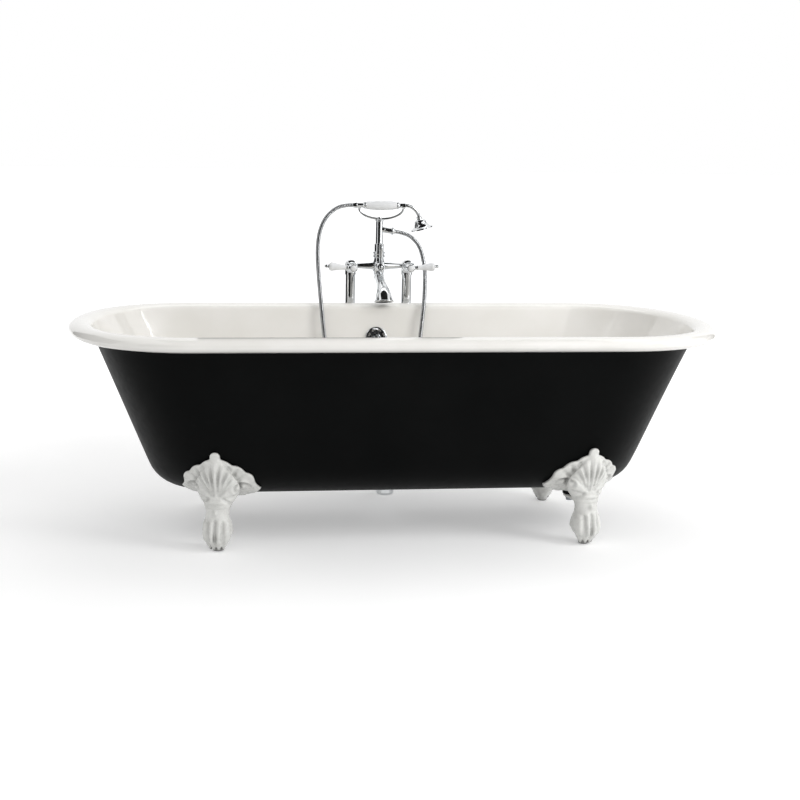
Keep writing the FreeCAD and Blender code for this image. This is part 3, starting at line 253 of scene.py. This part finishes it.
def outline(length, width, straight, spread_degrees, height):
    """Points round a plan outline of tangent arcs, from the front's middle by the right end."""
    depth = length - straight
    s = math.sin(math.radians(spread_degrees))
    c = math.cos(math.radians(spread_degrees))
    share = 1 - s - c
    corner = (width * (1 - c) - depth * s) / share
    end = (depth * (1 - s) - width * c) / share
    quarter = []
    for i in range(side_points):
        quarter.append((straight * (i + 0.5) / side_points, -width))
    for i in range(corner_points):
        turn = math.radians(-90 + (90 - spread_degrees) * i / corner_points)
        quarter.append((straight + corner * math.cos(turn),
                        -width + corner + corner * math.sin(turn)))
    for i in range(end_points):
        turn = math.radians(spread_degrees * (i / (end_points - 0.5) - 1))
        quarter.append((length - end + end * math.cos(turn), end * math.sin(turn)))
    half = quarter + [(x, -y) for x, y in reversed(quarter)]
    full = half + [(-x, y) for x, y in reversed(half)]
    return [Vector((x, y + tub_middle_y, height)) for x, y in full]


def flank(height, inset, half_size, lean, corner):
    """Half length or half width of the wall at a height, as in the casting."""
    slope = math.atan(lean)
    top = half_size - 2 * roll_half_width + wall
    radius = corner - inset
    centre_height = underside + corner
    if height >= centre_height - radius * math.sin(slope):
        return top - inset / math.cos(slope) - lean * (rim_centre - height)
    centre = top - lean * (rim_centre - underside) - corner * math.tan((math.pi / 2 - slope) / 2)
    return centre + math.sqrt(max(radius ** 2 - (centre_height - height) ** 2, 0.0))


def wall_outline(height, inset):
    """The wall's outline at a height, from the floor's rounder ends to the rim's fuller ones."""
    share = (height - underside) / (rim_centre - underside)
    straight = floor_straight + (half_length - end_depth - floor_straight) * share
    turn = floor_spread + (end_spread - floor_spread) * share
    length = flank(height, inset, half_length, end_lean, end_corner)
    width = flank(height, inset, half_width, side_lean, side_corner)
    return outline(length, width, straight, turn, height)


def rim_outline(angle, inner):
    """The outline at an angle round the roll's section, so far inside its outer skin."""
    turn = math.radians(angle)
    out = (roll_half_width - inner) * math.cos(turn) - roll_half_width
    height = rim_centre + (roll_half_height - inner) * math.sin(turn)
    return outline(half_length + out, half_width + out, half_length - end_depth, end_spread, height)


def wall_heights(inset):
    """From the floor round the corner, then up the straight wall."""
    radius = side_corner - inset
    round_part = [underside + side_corner - radius * math.cos(math.radians(t))
                  for t in corner_turns]
    rest = rim_centre - round_part[-1]
    return round_part + [round_part[-1] + rest * i / wall_steps for i in range(1, wall_steps)]


def ring_edges(ring):
    """The edges that run round a ring of vertices."""
    wanted = set(ring)
    touching = {e for v in ring for e in v.link_edges}
    return [e for e in touching if all(v in wanted for v in e.verts)]


def next_ring(mesh, ring, points):
    """The ring extruded to new points, in the same order."""
    grown = bmesh.ops.extrude_edge_only(mesh, edges=ring_edges(ring))["geom"]
    new = {v for v in grown if isinstance(v, bmesh.types.BMVert)}
    made = []
    for vertex, point in zip(ring, points):
        neighbours = (e.other_vert(vertex) for e in vertex.link_edges)
        follower = next(v for v in neighbours if v in new)
        follower.co = point
        made.append(follower)
    return made


def skinned(rings):
    """A closed skin through rings of points, capped at both ends."""
    mesh = bmesh.new()
    ring = bmesh.ops.create_circle(mesh, cap_ends=False, segments=len(rings[0]),
                                   radius=1.0)["verts"]
    for vertex, point in zip(ring, rings[0]):
        vertex.co = point
    first = list(ring)
    for points in rings[1:]:
        ring = next_ring(mesh, ring, points)
    bmesh.ops.contextual_create(mesh, geom=first)
    bmesh.ops.contextual_create(mesh, geom=ring)
    bmesh.ops.recalc_face_normals(mesh, faces=mesh.faces)
    return mesh


def to_object(mesh, name, *materials):
    """The mesh as a smooth object in the scene; the mesh itself is freed."""
    data = bpy.data.meshes.new(name)
    mesh.to_mesh(data)
    mesh.free()
    for material in materials:
        data.materials.append(material)
    piece = bpy.data.objects.new(name, data)
    bpy.context.scene.collection.objects.link(piece)
    data.shade_smooth()
    return piece


def shrunk(points, share):
    """An outline drawn in towards the tub's middle."""
    middle = Vector((0, tub_middle_y, points[0].z))
    return [middle + (p - middle) * share for p in points]


def add_bosses(mesh):
    """The round bosses under the floor that the feet are bolted to, painted with the outside."""
    turn = math.radians(foot_turn)
    for side_x in (-1, 1):
        for side_y in (-1, 1):
            x = side_x * (foot_x - bolt_reach * math.sin(turn))
            y = tub_middle_y + side_y * (foot_y - bolt_reach * math.cos(turn))
            middle = Matrix.Translation((x, y, (boss_low + boss_high) / 2))
            made = bmesh.ops.create_cone(mesh, cap_ends=True, segments=48, radius1=boss_radius,
                                         radius2=boss_radius, depth=boss_high - boss_low,
                                         matrix=middle)
            for face in {f for v in made["verts"] for f in v.link_faces}:
                face.material_index = paint_face


def make_tub():
    """Floor, walls and rolled rim as one smooth skin, enamelled to the lip and painted below it."""
    inside = [wall_outline(h, wall) for h in wall_heights(wall)]
    over = [rim_outline(a, 0.0) for a in roll_over]
    lip = [rim_outline(a, wall * share) for a, share in lip_turns]
    under = [rim_outline(a, wall) for a in roll_under]
    outside = [wall_outline(h, 0.0) for h in reversed(wall_heights(0.0) + [rim_centre])]
    rings = [shrunk(inside[0], s) for s in cap_shares] + inside + over + lip + under + outside
    rings += [shrunk(outside[-1], s) for s in reversed(cap_shares)]
    mesh = skinned(rings)
    mesh.verts.index_update()
    painted_from = (len(cap_shares) + len(inside) + len(over) - 1) * len(rings[0])
    for face in mesh.faces:
        is_painted = min(v.index for v in face.verts) >= painted_from
        face.material_index = paint_face if is_painted else enamel_face
    add_bosses(mesh)
    tub = to_object(mesh, "tub_skin", enamel, black_paint)
    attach(tub, "tub_and_stand")
    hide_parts("tub_shell")


# ---- the feet ----

# Lines of the carving on the right half of a foot's face, which its left half mirrors. Places are
# across and up in millimetres: start, end, height (below zero is cut in) and width.
leaf_veins = (((5, 160), (13, 246), -3.6, 3.2), ((9, 158), (35, 238), -3.8, 3.4),
              ((13, 160), (57, 230), -3.4, 3.8), ((20, 168), (76, 214), -2.8, 4.2),
              ((24, 150), (86, 166), -2.6, 4.6), ((0, 178), (0, 250), 3.0, 4.2),
              ((7, 178), (24, 243), 2.4, 3.6), ((12, 174), (46, 234), 2.4, 3.8),
              ((20, 150), (46, 130), -3.4, 4.4))
leg_tendons = (((0, 90), (0, 34), -3.2, 4.2), ((10, 84), (9, 30), 2.8, 5.6),
               ((19, 86), (17, 36), -2.8, 4.0), ((29, 80), (26, 32), 2.4, 5.6))

# the scroll in the leaf's wing: its eye, then rings of radius, height and width, open on one side
scroll_at = (66, 176)
scroll_rings = ((0, 4.5, 8.0), (16, -4.6, 4.0), (24, 2.6, 4.5))
scroll_stretch = 1.25
scroll_opens = 1.9                      # radians from the outward side

# bands round the neck: level, height, width and reach to each side
neck_bands = ((139, 2.6, 4.0, 30), (127, 2.2, 3.2, 26))
bead_level, bead_height, bead_width, bead_stretch = 112, 5.0, 5.5, 0.7

carving = 1.35                          # how much deeper all of it is cut than these lines say

# the leg's fullness by level: drawn in at the ground, full at the ball of the paw
leg_fullness = ((0, 0.64), (10, 0.68), (22, 0.84), (38, 1.04), (55, 1.12), (80, 1.08),
                (110, 1.04), (135, 1.0), (400, 1.0))

skin_step = 0.0021                      # voxel size that melts the casting's solids into one
melt_rounds = 9
carved_from, carved_over = 0.05, 0.35   # how far a surface must face outward to be carved


def bump_at(distance, width):
    """A soft hump: one on its line, and next to nothing beyond twice its width."""
    return math.exp(-(distance / width) ** 2)


def off_line(side, level, start, end):
    """How far a point of the foot's face lies from a line, with its place along it, 0 to 1."""
    way = Vector(end) - Vector(start)
    at = Vector((side, level)) - Vector(start)
    along = min(max(at.dot(way) / way.length_squared, 0.0), 1.0)
    return (at - way * along).length, along


def fullness(level):
    """How much wider than the blank the leg is at a level, eased between the listed ones."""
    for (low, first), (high, second) in zip(leg_fullness, leg_fullness[1:]):
        if level <= high:
            share = max(level - low, 0.0) / (high - low)
            return first + (second - first) * share * share * (3 - 2 * share)


def relief(across, level):
    """How far the carving stands out of the foot's face, in millimetres."""
    side = abs(across)
    height = 0.0
    for start, end, rise, width in leaf_veins:
        distance, along = off_line(side, level, start, end)
        taper = 0.35 + 0.65 * math.sin(math.pi * (0.15 + 0.8 * along))
        height += rise * bump_at(distance, width) * taper
    for start, end, rise, width in leg_tendons:
        distance, _ = off_line(side, level, start, end)
        height += rise * bump_at(distance, width)
    outward, up = side - scroll_at[0], level - scroll_at[1]
    reach = math.hypot(outward, up * scroll_stretch)
    opening = 0.5 + 0.5 * math.cos(math.atan2(up, outward) - scroll_opens)
    scroll = sum(rise * bump_at(reach - radius, width) for radius, rise, width in scroll_rings)
    height += scroll * opening
    height += sum(rise * bump_at(level - at, width) * bump_at(side, spread)
                  for at, rise, width, spread in neck_bands)
    from_bead = math.hypot(side, (level - bead_level) * bead_stretch)
    height += bead_height * bump_at(from_bead, bead_width)
    return height * carving


def smooth(mesh, factor):
    """One round of smoothing on all axes."""
    bmesh.ops.smooth_vert(mesh, verts=mesh.verts, factor=factor, use_axis_x=True,
                          use_axis_y=True, use_axis_z=True)


def melted_blank():
    """The front right foot's solid in one skin, with its joins softened."""
    blank = bpy.data.objects.new("foot_blank", frame["nodes"]["claw_foot_front_right"].data.copy())
    bpy.context.scene.collection.objects.link(blank)
    merged = bmesh.new()
    merged.from_mesh(blank.data)
    bmesh.ops.remove_doubles(merged, verts=merged.verts, dist=1e-6)
    merged.to_mesh(blank.data)
    merged.free()
    remesh = blank.modifiers.new("blend", "REMESH")
    remesh.mode = "VOXEL"
    remesh.voxel_size = skin_step
    seen = blank.evaluated_get(bpy.context.evaluated_depsgraph_get())
    skin = bpy.data.meshes.new_from_object(seen)
    bpy.data.objects.remove(blank)
    foot = bmesh.new()
    foot.from_mesh(skin)
    bpy.data.meshes.remove(skin)
    for _ in range(melt_rounds):
        smooth(foot, 0.5)
    foot.normal_update()
    return foot


def carved_foot():
    """The front right foot, carved on the side that faces outward."""
    foot = melted_blank()
    turn = math.radians(foot_turn)
    out = Vector((math.sin(turn), -math.cos(turn), 0))
    across = Vector((-out.y, out.x, 0))
    centre = Vector((foot_x, tub_middle_y - foot_y, 0))
    moves = []
    for vertex in foot.verts:
        facing = vertex.normal.dot(out)
        at = vertex.co - centre
        share = min(max((facing - carved_from) / carved_over, 0.0), 1.0)
        height = relief(at.dot(across) * 1000, at.z * 1000) / 1000
        moves.append(vertex.normal * height * share)
    for vertex, move in zip(foot.verts, moves):
        full = fullness(vertex.co.z * 1000)
        vertex.co.x = centre.x + (vertex.co.x - centre.x) * full
        vertex.co.y = centre.y + (vertex.co.y - centre.y) * full
        vertex.co += move
        vertex.co.z = max(vertex.co.z, 0.0)
    smooth(foot, 0.4)
    return foot


def make_feet():
    """The carved foot at the front right, and mirrored to the other three places."""
    master = carved_foot()
    for name, side_x, side_y in (("front_right", 1, 1), ("front_left", -1, 1),
                                 ("rear_right", 1, -1), ("rear_left", -1, -1)):
        foot = master.copy()
        for vertex in foot.verts:
            vertex.co.x *= side_x
            vertex.co.y = tub_middle_y + (vertex.co.y - tub_middle_y) * side_y
        bmesh.ops.recalc_face_normals(foot, faces=foot.faces)
        piece = to_object(foot, "carved_foot_" + name, white_paint)
        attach(piece, "tub_and_stand")
        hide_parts("claw_foot_" + name)
    master.free()


# ---- the hose ----

# from the mixer's nut down into the tub, round and up to the handset, with Y from the tub's middle
hose_start = (0.06151, 0.455, 0.81504)
hose_end = (-0.072, 0.455, 0.896)
hose_points = ((0.086, 0.455, 0.8116), (0.114, 0.451, 0.799), (0.137, 0.442, 0.773),
               (0.147, 0.427, 0.738), (0.151, 0.405, 0.697), (0.146, 0.368, 0.652),
               (0.134, 0.313, 0.590), (0.123, 0.294, 0.515), (0.113, 0.272, 0.425),
               (0.082, 0.250, 0.341), (0.020, 0.240, 0.292), (-0.060, 0.239, 0.289),
               (-0.128, 0.250, 0.336), (-0.162, 0.270, 0.424), (-0.174, 0.292, 0.512),
               (-0.181, 0.316, 0.598), (-0.184, 0.372, 0.676), (-0.186, 0.412, 0.750),
               (-0.179, 0.436, 0.812), (-0.159, 0.450, 0.856), (-0.130, 0.455, 0.884),
               (-0.098, 0.455, 0.896))
rib_depths = (0.0, 0.0005, 0.0013, 0.0005)  # of the rings in one turn of the strip
hose_sides = 20


def smooth_line(route):
    """Points along the NURBS line of the route."""
    curve = bpy.data.curves.new("hose_line", "CURVE")
    curve.dimensions = "3D"
    curve.resolution_u = 24
    spline = curve.splines.new("NURBS")
    spline.points.add(len(route) - 1)
    for point, place in zip(spline.points, route):
        point.co = (*place, 1.0)
    spline.order_u = 3
    spline.use_endpoint_u = True
    carrier = bpy.data.objects.new("hose_line", curve)
    bpy.context.scene.collection.objects.link(carrier)
    bpy.context.view_layer.update()
    seen = carrier.evaluated_get(bpy.context.evaluated_depsgraph_get())
    line = bpy.data.meshes.new_from_object(seen)
    places = [v.co.copy() for v in line.vertices]
    bpy.data.objects.remove(carrier)
    bpy.data.curves.remove(curve)
    bpy.data.meshes.remove(line)
    return places


def evenly(places, step):
    """The same line with points an even step apart, and its length."""
    lengths = [0.0]
    for a, b in zip(places, places[1:]):
        lengths.append(lengths[-1] + (b - a).length)
    count = max(2, round(lengths[-1] / step))
    found = []
    j = 0
    for i in range(count + 1):
        wanted = lengths[-1] * i / count
        while j < len(lengths) - 2 and lengths[j + 1] < wanted:
            j += 1
        gap = lengths[j + 1] - lengths[j]
        share = (wanted - lengths[j]) / gap if gap else 0.0
        found.append(places[j].lerp(places[j + 1], share))
    return found, lengths[-1]


def make_hose():
    """A wound steel hose: a tube whose wall rises and falls once in each turn of the strip."""
    route = [Vector((x, y + tub_middle_y, z)) for x, y, z in (hose_start, *hose_points, hose_end)]
    line, length = evenly(smooth_line(route), hose_rib / len(rib_depths))
    around = None
    rings = []
    for i, place in enumerate(line):
        way = (line[min(i + 1, len(line) - 1)] - line[max(i - 1, 0)]).normalized()
        if around is None:
            around = way.orthogonal().normalized()
        else:
            around = (around - way * around.dot(way)).normalized()
        other = way.cross(around)
        radius = hose_radius - rib_depths[i % len(rib_depths)]
        turns = [2 * math.pi * k / hose_sides for k in range(hose_sides)]
        rings.append([place + around * radius * math.cos(t) + other * radius * math.sin(t)
                      for t in turns])
    hose = to_object(skinned(rings), "wound_hose", strip_steel)
    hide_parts("shower_hose")
    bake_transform(hose)


# ---- floor, light and camera ----

def make_stage():
    """A pale floor that keeps the soft shadow and blends into the white background."""
    mesh = bmesh.new()
    bmesh.ops.create_grid(mesh, x_segments=2, y_segments=2, size=30.0)
    floor = to_object(mesh, "floor")
    material = finish("pale studio floor", ("F1F1F1", "F4F4F4"), 500, (0.85, 0.95), 100)
    tree = material.node_tree
    shader = tree.nodes["Principled BSDF"]
    path = add_node(tree, "ShaderNodeLightPath")
    seen = add_node(tree, "ShaderNodeMath", {"operation": "MAXIMUM"},
                    {0: path.outputs["Is Camera Ray"], 1: path.outputs["Is Glossy Ray"]})
    place = add_node(tree, "ShaderNodeTexCoord").outputs["Object"]
    away = add_node(tree, "ShaderNodeVectorMath", {"operation": "LENGTH"}, {0: place})
    glow = add_node(tree, "ShaderNodeMapRange", {"interpolation_type": "SMOOTHSTEP"},
                    {"Value": away.outputs["Value"], "From Min": 1.2, "From Max": 3.2,
                     "To Min": 0.30, "To Max": 0.62})
    lift = add_node(tree, "ShaderNodeMath", {"operation": "MULTIPLY"},
                    {0: seen.outputs[0], 1: glow.outputs["Result"]})
    shader.inputs["Emission Color"].default_value = colour("FFFFFF")
    tree.links.new(lift.outputs[0], shader.inputs["Emission Strength"])
    floor.data.materials.append(material)


def make_world():
    """White to the camera and in mirrors, and a softer fill light on everything else."""
    world = bpy.data.worlds.new("studio")
    bpy.context.scene.world = world
    world.use_nodes = True
    tree = world.node_tree
    path = add_node(tree, "ShaderNodeLightPath")
    mirrored = add_node(tree, "ShaderNodeMath", {"operation": "MAXIMUM"},
                        {0: path.outputs["Is Glossy Ray"], 1: path.outputs["Is Transmission Ray"]})
    seen = add_node(tree, "ShaderNodeMath", {"operation": "MAXIMUM"},
                    {0: path.outputs["Is Camera Ray"], 1: mirrored.outputs[0]})
    strength = add_node(tree, "ShaderNodeMapRange", {},
                        {"Value": seen.outputs[0], "To Min": 0.64, "To Max": 1.0})
    background = tree.nodes["Background"]
    background.inputs["Color"].default_value = colour("FFFFFF")
    tree.links.new(strength.outputs["Result"], background.inputs["Strength"])


# lamps: name, place, aim, size and watts
tub_aim = (0.0, 0.0, 0.4)
lamps = (("key", (3.2, -2.0, 2.8), tub_aim, (1.6, 1.6), 47.0),
         ("top", (0.4, 0.9, 3.6), tub_aim, (3.0, 2.0), 17.0),
         ("front", (0.3, -3.4, 2.6), (0.0, 0.2, 0.5), (2.6, 1.2), 15.0),
         ("low_fill", (3.4, -2.6, 0.8), (0.3, -0.3, 0.35), (1.2, 0.9), 21.0))

# black cards that chrome shows as its dark bands: name, place, aim, width and height
mixer_aim = (0.0, 0.4, 1.4)
spout_aim = (0.0, 0.4, 0.7)
cards = (("front_card", (-0.95, -2.8, 1.55), mixer_aim, 4.2, 3.0),
         ("right_card", (2.15, -1.9, 1.35), mixer_aim, 0.7, 2.6),
         ("side_card", (3.0, 1.3, 1.35), mixer_aim, 1.3, 2.6),
         ("left_card", (-2.5, 0.7, 1.35), mixer_aim, 3.0, 2.6),
         ("upper_card", (-0.1, -0.9, 2.5), spout_aim, 1.8, 1.5),
         ("over_flag", (0.0, 0.1, 1.9), (0.0, 0.3, 0.7), 1.8, 1.0),
         ("left_flag", (-0.30, -0.05, 0.80), (-0.30, 0.4, 0.80), 0.52, 0.8),
         ("right_flag", (0.135, -0.05, 0.80), (0.135, 0.4, 0.80), 0.12, 0.8))


def add_lamp(name, place, target, size, power):
    """A rectangular lamp that faces its target."""
    light = bpy.data.lights.new(name, "AREA")
    light.shape = "RECTANGLE"
    light.size, light.size_y = size
    light.energy = power
    lamp = bpy.data.objects.new(name, light)
    bpy.context.scene.collection.objects.link(lamp)
    lamp.location = place
    lamp.rotation_euler = (Vector(target) - Vector(place)).to_track_quat("-Z", "Y").to_euler()


def dark_card(name, place, target, width, height):
    """A black card that faces its target, and that only mirrors see."""
    mesh = bmesh.new()
    bmesh.ops.create_grid(mesh, x_segments=1, y_segments=1, size=0.5)
    turn = (Vector(target) - Vector(place)).to_track_quat("Z", "Y").to_matrix().to_4x4()
    size = Matrix.Diagonal((width, height, 1.0, 1.0))
    bmesh.ops.transform(mesh, verts=mesh.verts, matrix=Matrix.Translation(place) @ turn @ size)
    card = to_object(mesh, name, flock)
    card.visible_camera = False
    card.visible_shadow = False
    card.visible_diffuse = False


def make_camera():
    """The camera that took the photo, aimed a little down and turned slightly on its axis."""
    data = bpy.data.cameras.new("camera")
    data.sensor_width = sensor_width
    data.lens = focal_length_px / photo_size * sensor_width
    data.shift_x = (photo_size / 2 - centre_px) / photo_size
    data.clip_end = 100.0
    camera = bpy.data.objects.new("camera", data)
    bpy.context.scene.collection.objects.link(camera)
    forward = Vector((math.sin(camera_yaw) * math.cos(camera_pitch),
                      math.cos(camera_yaw) * math.cos(camera_pitch),
                      -math.sin(camera_pitch)))
    level = forward.cross(Vector((0, 0, 1))).normalized()
    upward = level.cross(forward)
    right = level * math.cos(camera_roll) + upward * math.sin(camera_roll)
    up = upward * math.cos(camera_roll) - level * math.sin(camera_roll)
    turned = Matrix((right, up, -forward)).transposed().to_4x4()
    camera.matrix_world = Matrix.Translation(camera_place) @ turned
    bpy.context.scene.camera = camera


dress_solids()
make_tub()
make_feet()
make_hose()
make_stage()
make_world()
for lamp in lamps:
    add_lamp(*lamp)
for card in cards:
    dark_card(*card)
make_camera()
bpy.context.scene.view_settings.view_transform = "Standard"

bpy.context.view_layer.update()
